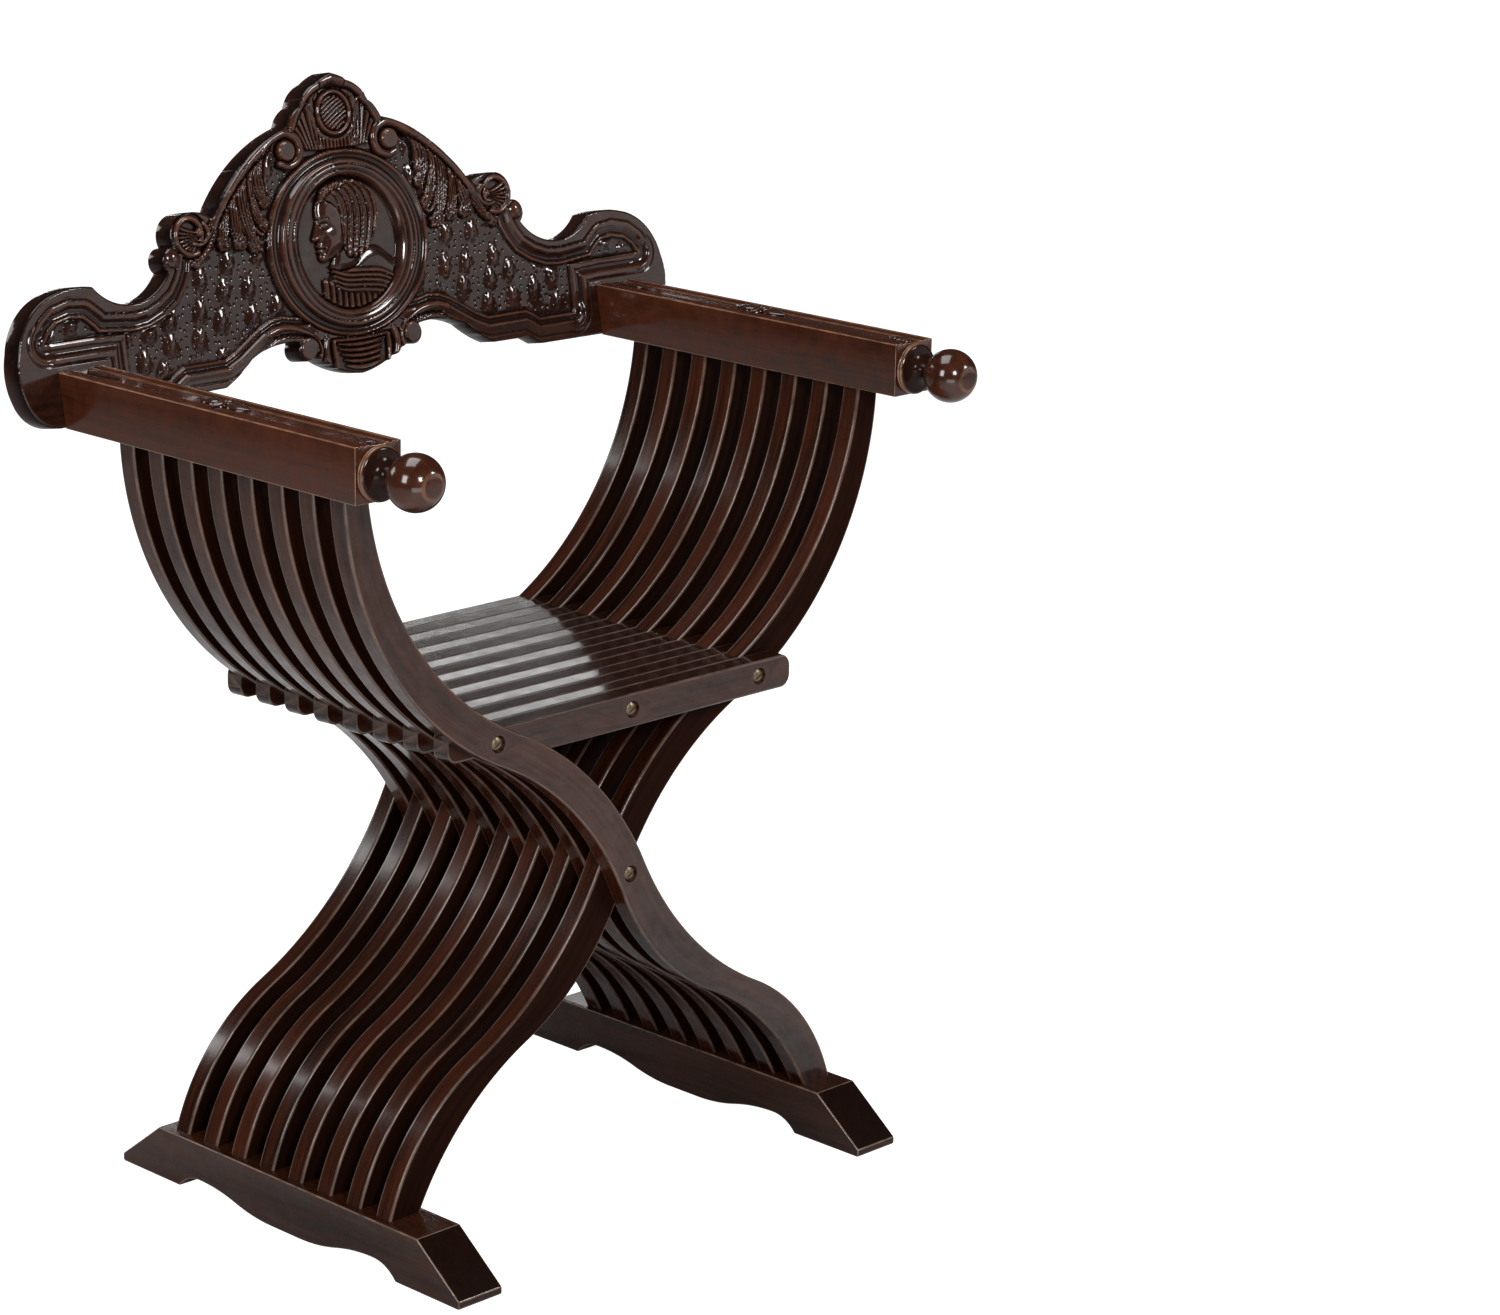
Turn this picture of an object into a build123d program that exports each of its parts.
from build123d import *
from math import atan, cos, degrees, radians, sin, sqrt
import os

# A folding scissor armchair. Units are millimetres.
# X runs across the chair, -Y is its front, Z is up. The origin is on the floor,
# at the middle of the box around the chair.

# Layers: thin boards lie one behind the other, left and right ones by turns.
layer_count = 16
layer_pitch = 19.1
board_thickness = 18.8
first_layer_front = -159.0

# Pivots of the scissor frame, as heights and distances from the middle plane.
centre_pivot_z = 300.5
seat_pivot_x = 155.0
seat_pivot_z = 448.0
rod_radius = 4.0
fast_hole_radius = 4.02
running_hole_radius = 4.06
screw_head_radius = 7.0
screw_head_rise = 3.1
screw_slot_width = 1.5
screw_slot_depth = 1.2
recess_radius = 7.5
recess_depth = 3.2
recess_floor_gap = 0.2

# Curved staves: each long edge is a chain of tangent arcs (radius, turn in degrees).
stave_top_z = 684.0
stave_foot_z = 47.2
inner_edge_start_x = -295.0
inner_edge_heading = -84.0
inner_edge_bends = [(290, 59), (310, -38.5), (325, 36.5), (195, -60)]
outer_edge_start_x = -320.0
outer_edge_heading = -88.0
outer_edge_bends = [(295, 63), (290, -41), (230, 40), (270, -45)]
tenon_depth = 10.0
tenon_thickness = 10.0
top_tenon_width = 14.0
foot_tenon_width = 20.0
top_tenon_x = -307.5
foot_tenon_x = 237.0

# Seat slats.
slat_bottom_z = 432.5
slat_top_z = 462.3
slat_outer_x = 193.0
slat_corner_radius = 9.5
slat_end_gap = 0.4

# Arms.
arm_inner_x = 287.6
arm_outer_x = 335.1
arm_bottom_z = stave_top_z
arm_top_z = 730.9
arm_front_y = -189.6
arm_groove_depth = 1.3
arm_field_drop = 1.0
arm_edge_radius = 1.2

# Finials: a turned ball on a neck, in front of each arm.
finial_z = 706.9
ball_y = -233.2
ball_radius = 23.6
ball_flat_radius = 10.0
ring_radius = 22.5
ring_length = 6.0
neck_radius = 6.0
neck_y = -207.0
spigot_radius = 6.0
spigot_length = 18.0

# Feet.
foot_inner_x = 217.9
foot_outer_x = 266.5
foot_front_y = -234.3
foot_back_y = 212.3
foot_top_front_y = -181.8
toe_height = 7.2
pad_length = 79.7
arch_height = 13.0
arch_start_angle = 50.0
arch_centre_pad = 36.0
foot_edge_radius = 1.5

# Back panel: its face leans back and is bowed, hollow side to the sitter.
panel_foot_y = 188.0
panel_foot_z = 730.0
panel_lean = degrees(atan(0.184))
panel_thickness = 21.0
bow_depth = 5.5
bow_half_width = 311.0
panel_arm_gap = 0.3
ground_depth = 3.5
medallion_radii = (92.5, 83.0)
medallion_field_radii = (57.0, 58.0)
medallion_centre_v = 72.5
medallion_field_depth = 4.0

# Dovetail tongues on the arms' rear ends, which the panel drops onto.
tongue_foot_width = 34.0
tongue_top_width = 16.0
tongue_foot_v = -45.0
tongue_top_v = -5.0
tongue_depth = 11.0
tongue_flare = 1.5
tongue_gap = 0.3

arm_middle_x = (arm_inner_x + arm_outer_x) / 2
last_layer_back = first_layer_front + (layer_count - 1) * layer_pitch + board_thickness

os.makedirs("parts", exist_ok=True)


def finish(part, label):
    """Label a finished piece and write it to its own file."""
    part.label = label
    export_step(part, f"parts/{label}.step")


def layer_front(layer):
    """Y of the front face of a layer, counted from 0 at the front."""
    return first_layer_front + layer * layer_pitch


def upright_plane(y):
    """A plane facing the front at depth y, with x across and y up."""
    return Plane(origin=(0, y, 0), x_dir=(1, 0, 0), z_dir=(0, -1, 0))


def panel_plane(forward=0.0):
    """The panel's plane: x across, y up its lean, z towards the sitter."""
    lean = radians(panel_lean)
    facing = Vector(0, -cos(lean), sin(lean))
    return Plane(
        origin=Vector(0, panel_foot_y, panel_foot_z) + facing * forward,
        x_dir=(1, 0, 0),
        z_dir=facing,
    )


def panel_section_plane(v):
    """A plane across the panel at height v along its lean: x across, y backwards."""
    lean = radians(panel_lean)
    up_lean = Vector(0, sin(lean), cos(lean))
    return Plane(
        origin=Vector(0, panel_foot_y, panel_foot_z) + up_lean * v,
        x_dir=(1, 0, 0),
        z_dir=up_lean,
    )


def chain_of_arcs(start, heading, bends):
    """Add tangent arcs one after the other to the open line; return the last point."""
    tangent = Vector(cos(radians(heading)), sin(radians(heading)))
    point = Vector(*start)
    for radius, turn in bends:
        arc = JernArc(point, tangent, radius, turn)
        point = arc @ 1
        tangent = arc % 1
    return point


# ---------------------------------------------------------------- stave blank
# The blank of a left stave, in layer 0: from the left arm, through the left seat
# pivot and the centre pivot, to the right foot.
with BuildPart() as stave_blank:
    with BuildSketch(upright_plane(layer_front(0) + board_thickness)):
        with BuildLine():
            inner_end = chain_of_arcs(
                (inner_edge_start_x, stave_top_z), inner_edge_heading, inner_edge_bends
            )
            outer_end = chain_of_arcs(
                (outer_edge_start_x, stave_top_z), outer_edge_heading, outer_edge_bends
            )
            Line(inner_end, outer_end)
            Line((inner_edge_start_x, stave_top_z), (outer_edge_start_x, stave_top_z))
        make_face()
    extrude(amount=board_thickness)
    split(bisect_by=Plane.XY.offset(stave_foot_z), keep=Keep.TOP)
    # Tenons for the arm and for the foot.
    middle_y = layer_front(0) + board_thickness / 2
    with Locations((top_tenon_x, middle_y, stave_top_z)):
        Box(top_tenon_width, tenon_thickness, tenon_depth,
            align=(Align.CENTER, Align.CENTER, Align.MIN))
    with Locations((foot_tenon_x, middle_y, stave_foot_z)):
        Box(foot_tenon_width, tenon_thickness, tenon_depth,
            align=(Align.CENTER, Align.CENTER, Align.MAX))
    # Holes for the left seat rod and for the centre rod.
    with BuildSketch(upright_plane(layer_front(0) + board_thickness)):
        with Locations((-seat_pivot_x, seat_pivot_z)):
            Circle(fast_hole_radius)
        with Locations((0, centre_pivot_z)):
            Circle(running_hole_radius)
    extrude(amount=board_thickness, mode=Mode.SUBTRACT)


def round_recess(x, z, from_front):
    """A round recess for a screw head, in the pack's front or back face."""
    if from_front:
        mouth = upright_plane(first_layer_front)
        depth = -recess_depth
    else:
        mouth = upright_plane(last_layer_back)
        depth = recess_depth
    with BuildSketch(mouth) as recess_outline:
        with Locations((x, z)):
            Circle(recess_radius)
    extrude(recess_outline.sketch, amount=depth, mode=Mode.SUBTRACT)


# -------------------------------------------------------------------- staves
for number in range(layer_count // 2):
    layer = 2 * number
    with BuildPart() as left_arm_stave:
        add(stave_blank.part.moved(Location((0, layer * layer_pitch, 0))))
        if layer == 0:
            round_recess(-seat_pivot_x, seat_pivot_z, True)
            round_recess(0, centre_pivot_z, True)
    finish(left_arm_stave.part, f"left_arm_stave_{number + 1}")

for number in range(layer_count // 2):
    layer = 2 * number + 1
    with BuildPart() as right_arm_stave:
        add(mirror(stave_blank.part, about=Plane.YZ, mode=Mode.PRIVATE).moved(
            Location((0, layer * layer_pitch, 0))))
        if layer == layer_count - 1:
            round_recess(seat_pivot_x, seat_pivot_z, False)
            round_recess(0, centre_pivot_z, False)
    finish(right_arm_stave.part, f"right_arm_stave_{number + 1}")

# ---------------------------------------------------------------- seat slats
# The blank of a right slat, in layer 0. Its outer end is rounded, and its inner
# end is cut to lie along the left stave in the same layer.
with BuildPart() as slat_blank:
    with BuildSketch(upright_plane(layer_front(0) + board_thickness)) as slat_outline:
        slat_length = slat_outer_x + seat_pivot_x
        with Locations((slat_outer_x, slat_bottom_z)):
            Rectangle(slat_length, slat_top_z - slat_bottom_z, align=(Align.MAX, Align.MIN))
        outer_corners = slat_outline.vertices().sort_by(Axis.X)[-2:]
        fillet(outer_corners, slat_corner_radius)
        with BuildLine(mode=Mode.PRIVATE) as stave_side:
            side_end = chain_of_arcs(
                (inner_edge_start_x + slat_end_gap, stave_top_z),
                inner_edge_heading,
                [(radius - slat_end_gap if turn > 0 else radius + slat_end_gap, turn)
                 for radius, turn in inner_edge_bends],
            )
            Line(side_end, (inner_edge_start_x - slat_length, side_end.Y))
            Line((inner_edge_start_x - slat_length, side_end.Y),
                 (inner_edge_start_x - slat_length, stave_top_z))
            Line((inner_edge_start_x - slat_length, stave_top_z),
                 (inner_edge_start_x + slat_end_gap, stave_top_z))
        make_face(stave_side.edges(), mode=Mode.SUBTRACT)
    extrude(amount=board_thickness)
    with BuildSketch(upright_plane(layer_front(0) + board_thickness)):
        with Locations((seat_pivot_x, seat_pivot_z)):
            Circle(running_hole_radius)
        with Locations((0, seat_pivot_z)):
            Circle(fast_hole_radius)
    extrude(amount=board_thickness, mode=Mode.SUBTRACT)

for number in range(layer_count // 2):
    layer = 2 * number
    with BuildPart() as right_seat_slat:
        add(slat_blank.part.moved(Location((0, layer * layer_pitch, 0))))
        if layer == 0:
            round_recess(seat_pivot_x, seat_pivot_z, True)
            round_recess(0, seat_pivot_z, True)
    finish(right_seat_slat.part, f"right_seat_slat_{number + 1}")

for number in range(layer_count // 2):
    layer = 2 * number + 1
    with BuildPart() as left_seat_slat:
        add(mirror(slat_blank.part, about=Plane.YZ, mode=Mode.PRIVATE).moved(
            Location((0, layer * layer_pitch, 0))))
        if layer == layer_count - 1:
            round_recess(-seat_pivot_x, seat_pivot_z, False)
            round_recess(0, seat_pivot_z, False)
    finish(left_seat_slat.part, f"left_seat_slat_{number + 1}")


# ---------------------------------------------------------------------- rods
def rod_from_to(x, z, front_y, back_y):
    """A plain round rod along Y."""
    with BuildSketch(upright_plane(back_y)) as rod_section:
        with Locations((x, z)):
            Circle(rod_radius)
    extrude(rod_section.sketch, amount=back_y - front_y)


recess_floor_front = first_layer_front + recess_depth
recess_floor_back = last_layer_back - recess_depth

for label, x, z in (
    ("centre_pivot_rod", 0, centre_pivot_z),
    ("left_seat_rod", -seat_pivot_x, seat_pivot_z),
    ("right_seat_rod", seat_pivot_x, seat_pivot_z),
):
    with BuildPart() as rod:
        rod_from_to(x, z, recess_floor_front - recess_floor_gap, recess_floor_back + recess_floor_gap)
    finish(rod.part, label)

# The middle seat rod turns with both halves of the seat, so each slat carries the
# length of it that lies in its own layer.
for label, first_layer in (("middle_seat_rod_right_lengths", 0), ("middle_seat_rod_left_lengths", 1)):
    with BuildPart() as rod_lengths:
        for layer in range(first_layer, layer_count, 2):
            length_front = layer_front(layer)
            length_back = layer_front(layer) + board_thickness
            if layer == 0:
                length_front = recess_floor_front - recess_floor_gap
            if layer == layer_count - 1:
                length_back = recess_floor_back + recess_floor_gap
            rod_from_to(0, seat_pivot_z, length_front, length_back)
    finish(rod_lengths.part, label)


# -------------------------------------------------------------- screw heads
def screw_head(x, z, at_front):
    """A domed round head with one slot, standing on the end of a rod."""
    dome_radius = (screw_head_radius**2 + screw_head_rise**2) / (2 * screw_head_rise)
    if at_front:
        seat = Plane(origin=(x, recess_floor_front - recess_floor_gap, z),
                     x_dir=(1, 0, 0), z_dir=(0, -1, 0))
        slot_angle = 35
    else:
        seat = Plane(origin=(x, recess_floor_back + recess_floor_gap, z),
                     x_dir=(-1, 0, 0), z_dir=(0, 1, 0))
        slot_angle = 80
    with BuildSketch(Plane(origin=seat.origin, x_dir=seat.x_dir, z_dir=-seat.y_dir)) as head_profile:
        with BuildLine():
            Line((0, 0), (screw_head_radius, 0))
            RadiusArc((screw_head_radius, 0), (0, screw_head_rise), -dome_radius)
            Line((0, screw_head_rise), (0, 0))
        make_face()
    revolve(head_profile.sketch, axis=Axis(seat.origin, seat.z_dir))
    with BuildSketch(seat.offset(screw_head_rise - screw_slot_depth)) as slot_outline:
        Rectangle(2 * recess_radius, screw_slot_width, rotation=slot_angle)
    extrude(slot_outline.sketch, amount=screw_head_rise, mode=Mode.SUBTRACT)


for label, places in (
    ("centre_rod_screws", ((0, centre_pivot_z, True), (0, centre_pivot_z, False))),
    ("left_seat_rod_screws", ((-seat_pivot_x, seat_pivot_z, True), (-seat_pivot_x, seat_pivot_z, False))),
    ("right_seat_rod_screws", ((seat_pivot_x, seat_pivot_z, True), (seat_pivot_x, seat_pivot_z, False))),
    ("middle_screw_front", ((0, seat_pivot_z, True),)),
    ("middle_screw_back", ((0, seat_pivot_z, False),)),
):
    with BuildPart() as screws:
        for x, z, at_front in places:
            screw_head(x, z, at_front)
    finish(screws.part, label)


# -------------------------------------------------------------- panel tongues
def tongue_sketch(flare, clearance):
    """The tongue's outline on the panel's plane, or the slot's with a clearance."""
    outer_x = arm_middle_x + tongue_foot_width / 2 + flare + clearance
    inner_foot_x = arm_middle_x - tongue_foot_width / 2 - flare - clearance
    inner_top_x = arm_middle_x + tongue_foot_width / 2 - tongue_top_width - flare - clearance
    top_v = tongue_top_v + clearance
    slope = (inner_top_x - inner_foot_x) / (tongue_top_v - tongue_foot_v)
    foot_v = tongue_foot_v
    if clearance > 0:
        foot_v = tongue_foot_v - 12
    Polygon(
        (outer_x, foot_v),
        (outer_x, top_v),
        (inner_top_x + slope * clearance, top_v),
        (inner_foot_x + slope * (foot_v - tongue_foot_v), foot_v),
        align=None,
    )


def tongue(clearance, start):
    """Add the right arm's tongue, or the shape of its slot when there is a clearance."""
    with BuildSketch(panel_plane(start)) as root_outline:
        tongue_sketch(0, clearance)
    with BuildSketch(panel_plane(-tongue_depth - clearance)) as end_outline:
        tongue_sketch(tongue_flare, clearance)
    loft([root_outline.sketch.face(), end_outline.sketch.face()])


def bowed_slab(front_setback, back_setback):
    """A bowed slab along the panel's lean, between two distances behind its face."""
    reach = 2 * bow_half_width
    end_rise = 3 * bow_depth
    with BuildSketch(panel_section_plane(-200)) as slab_section:
        with BuildLine():
            front = ThreePointArc(
                (-reach, front_setback - end_rise),
                (0, front_setback + bow_depth),
                (reach, front_setback - end_rise),
            )
            back = ThreePointArc(
                (-reach, back_setback - end_rise),
                (0, back_setback + bow_depth),
                (reach, back_setback - end_rise),
            )
            Line(front @ 0, back @ 0)
            Line(front @ 1, back @ 1)
        make_face()
    extrude(slab_section.sketch, amount=500)


# ----------------------------------------------------------------------- arms
with BuildPart() as behind_panel_face:
    bowed_slab(-panel_arm_gap, 60)

with BuildPart() as arm_blank:
    # Section of the arm: on top, two grooves and a bead beside each edge.
    half_width = (arm_outer_x - arm_inner_x) / 2
    field_z = arm_top_z - arm_field_drop
    groove_z = arm_top_z - arm_groove_depth
    with BuildSketch(upright_plane(panel_foot_y + 20)):
        with BuildLine():
            for side in (-1, 1):
                edge_x = arm_middle_x + side * half_width
                Polyline(
                    (arm_middle_x, arm_bottom_z),
                    (edge_x, arm_bottom_z),
                    (edge_x, arm_top_z),
                    (edge_x - side * 3.6, arm_top_z),
                    (edge_x - side * 4.6, groove_z),
                )
                ThreePointArc(
                    (edge_x - side * 4.6, groove_z),
                    (edge_x - side * 7.2, arm_top_z),
                    (edge_x - side * 9.8, groove_z),
                )
                ThreePointArc(
                    (edge_x - side * 9.8, groove_z),
                    (edge_x - side * 12.2, arm_top_z - 0.3),
                    (edge_x - side * 15.5, field_z),
                )
                Line((edge_x - side * 15.5, field_z), (arm_middle_x, field_z))
        make_face()
    extrude(amount=panel_foot_y + 20 - arm_front_y)
    long_corners = arm_blank.edges().filter_by(Axis.Y).group_by(Axis.X)
    fillet(long_corners[0] + long_corners[-1], arm_edge_radius)
    add(behind_panel_face.part, mode=Mode.SUBTRACT)
    # The bore for the finial's spigot.
    with BuildSketch(upright_plane(arm_front_y)):
        with Locations((arm_middle_x, finial_z)):
            Circle(spigot_radius)
    extrude(amount=-spigot_length, mode=Mode.SUBTRACT)
    tongue(0, panel_arm_gap + 4)


def tenon_pockets(x, z, width, first_layer, z_align):
    """Pockets for the tenons of every second layer's stave."""
    for layer in range(first_layer, layer_count, 2):
        with Locations((x, layer_front(layer) + board_thickness / 2, z)):
            Box(width, tenon_thickness, tenon_depth,
                align=(Align.CENTER, Align.CENTER, z_align), mode=Mode.SUBTRACT)


with BuildPart() as arm_right:
    add(arm_blank.part)
    tenon_pockets(-top_tenon_x, stave_top_z, top_tenon_width, 1, Align.MIN)
finish(arm_right.part, "arm_right")

with BuildPart() as arm_left:
    add(mirror(arm_blank.part, about=Plane.YZ, mode=Mode.PRIVATE))
    tenon_pockets(top_tenon_x, stave_top_z, top_tenon_width, 0, Align.MIN)
finish(arm_left.part, "arm_left")

# -------------------------------------------------------------------- finials
with BuildPart() as finial_blank:
    # Turning profile of the right finial: x is depth along Y, y is the radius.
    finial_plane = Plane(origin=(arm_middle_x, 0, finial_z), x_dir=(0, 1, 0), z_dir=(1, 0, 0))
    ball_flat_y = ball_y - sqrt(ball_radius**2 - ball_flat_radius**2)
    neck_ball_y = ball_y + sqrt(ball_radius**2 - neck_radius**2)
    ring_front_y = arm_front_y - ring_length
    with BuildSketch(finial_plane):
        with BuildLine():
            Line((arm_front_y + spigot_length, 0), (ball_flat_y, 0))
            Line((ball_flat_y, 0), (ball_flat_y, ball_flat_radius))
            ThreePointArc((ball_flat_y, ball_flat_radius), (ball_y, ball_radius),
                          (neck_ball_y, neck_radius))
            ThreePointArc((neck_ball_y, neck_radius), (neck_y, neck_radius + 0.8),
                          (ring_front_y - 1.5, ring_radius - 1.5))
            ThreePointArc((ring_front_y - 1.5, ring_radius - 1.5),
                          (ring_front_y + ring_length / 2, ring_radius),
                          (arm_front_y, ring_radius - 1.0))
            Line((arm_front_y, ring_radius - 1.0), (arm_front_y, spigot_radius))
            Line((arm_front_y, spigot_radius), (arm_front_y + spigot_length, spigot_radius))
            Line((arm_front_y + spigot_length, spigot_radius), (arm_front_y + spigot_length, 0))
        make_face()
    revolve(axis=Axis((arm_middle_x, 0, finial_z), (0, 1, 0)))

finish(Part() + finial_blank.part, "finial_right")
finish(mirror(finial_blank.part, about=Plane.YZ), "finial_left")

# ----------------------------------------------------------------------- feet
with BuildPart() as foot_blank:
    foot_middle_y = (foot_front_y + foot_back_y) / 2
    arch_radius = arch_height / (1 - cos(radians(arch_start_angle)))
    arch_crest = pad_length + arch_radius * sin(radians(arch_start_angle))
    arch_end = (foot_back_y - foot_front_y - arch_centre_pad) / 2
    fall_angle = degrees(2 * atan(arch_height / (arch_end - arch_crest)))
    fall_radius = (arch_end - arch_crest) / (2 * sin(radians(fall_angle)))
    side_plane = Plane(origin=(foot_inner_x, foot_middle_y, 0), x_dir=(0, 1, 0), z_dir=(1, 0, 0))
    half_length = (foot_back_y - foot_front_y) / 2
    top_half_length = foot_middle_y - foot_top_front_y
    with BuildSketch(side_plane):
        with BuildLine():
            for side in (-1, 1):
                toe = side * half_length
                Polyline(
                    (0, stave_foot_z),
                    (side * top_half_length, stave_foot_z),
                    (toe, toe_height),
                    (toe, 0),
                    (toe - side * pad_length, 0),
                )
                rise = JernArc(
                    (toe - side * pad_length, 0),
                    (-side * cos(radians(arch_start_angle)), sin(radians(arch_start_angle))),
                    arch_radius,
                    side * arch_start_angle,
                )
                fall = JernArc(rise @ 1, rise % 1, fall_radius, side * fall_angle)
                settle = JernArc(fall @ 1, fall % 1, fall_radius, -side * fall_angle)
                Line(settle @ 1, (0, 0))
        make_face()
    extrude(amount=foot_outer_x - foot_inner_x)
    foot_top_edges = foot_blank.edges().filter_by(
        lambda edge: edge.center().Z > toe_height / 2 + 0.1 and abs(edge.center().X - (foot_inner_x + foot_outer_x) / 2) > 1)
    fillet(foot_top_edges.filter_by(lambda edge: edge.center().Z > 20), foot_edge_radius)

with BuildPart() as foot_right:
    add(foot_blank.part)
    tenon_pockets(foot_tenon_x, stave_foot_z, foot_tenon_width, 0, Align.MAX)
finish(foot_right.part, "foot_right")

with BuildPart() as foot_left:
    add(mirror(foot_blank.part, about=Plane.YZ, mode=Mode.PRIVATE))
    tenon_pockets(-foot_tenon_x, stave_foot_z, foot_tenon_width, 1, Align.MAX)
finish(foot_left.part, "foot_left")

# ----------------------------------------------------------------- back panel
with BuildPart() as carved_ground:
    # The sunk ground of the carving, to be cut out of the face.
    with BuildSketch(panel_plane(40)):
        with BuildLine():
            Polyline((0, -6), (75, 16), (100, 15), (125, 4), (152, -12), (200, -12), (215, -21),
                     (258, -21), (258, 23.5), (230, 25), (195, 42), (178, 70), (140, 80),
                     (105, 108), (70, 150), (0, 160), (0, -6))
        make_face()
        mirror(about=Plane.YZ)
        with Locations((0, medallion_centre_v)):
            Ellipse(*medallion_radii, mode=Mode.SUBTRACT)
    extrude(amount=-80)
    with BuildSketch(panel_plane(40)):
        with Locations((0, medallion_centre_v)):
            Ellipse(*medallion_field_radii)
    extrude(amount=-80)

with BuildPart() as ground_layer:
    bowed_slab(-10, ground_depth)
    add(carved_ground.part, mode=Mode.INTERSECT)

with BuildPart() as panel_slab:
    bowed_slab(0, panel_thickness)

with BuildPart() as tongue_slot:
    tongue(tongue_gap, panel_arm_gap + 6)

with BuildPart() as back_panel:
    with BuildSketch(panel_plane(40)):
        with BuildLine():
            # Lower edge: boss, curve out to the arm, and the arm's border.
            ThreePointArc((0, -44), (28, -37), (50, -25))
            ThreePointArc((50, -25), (55, -12), (70, -7.5))
            ThreePointArc((70, -7.5), (100, -8), (125, -16))
            ThreePointArc((125, -16), (141, -28), (157, -36.5))
            Polyline((157, -36.5), (200, -37), (214, -45), (338, -46))
            # The rounded end of the border, then its scalloped top.
            ThreePointArc((338, -46), (361, -37), (372, -20))
            ThreePointArc((372, -20), (376, 0), (373, 20))
            ThreePointArc((373, 20), (357, 50), (328, 65.5))
            ThreePointArc((328, 65.5), (308, 68.5), (287, 66.5))
            ThreePointArc((287, 66.5), (250, 47.5), (205, 69))
            Line((205, 69), (160, 107))
            # The shoulder and the hood over the middle.
            ThreePointArc((160, 107), (108, 154), (55, 179.5))
            ThreePointArc((55, 179.5), (50, 188), (40, 195))
            ThreePointArc((40, 195), (34, 205), (18, 214.5))
            ThreePointArc((18, 214.5), (10, 219), (0, 222.5))
            Line((0, 222.5), (0, -44))
        make_face()
        with Locations((60, -15)):
            Circle(11)
        with Locations((199, 80)):
            Circle(10.5)
        with Locations((177, 98)):
            Circle(19)
        mirror(about=Plane.YZ)
    extrude(amount=-100)
    add(panel_slab.part, mode=Mode.INTERSECT)
    add(ground_layer.part, mode=Mode.SUBTRACT)
    add(tongue_slot.part, mode=Mode.SUBTRACT)
    add(mirror(tongue_slot.part, about=Plane.YZ, mode=Mode.PRIVATE), mode=Mode.SUBTRACT)
finish(back_panel.part, "back_panel")
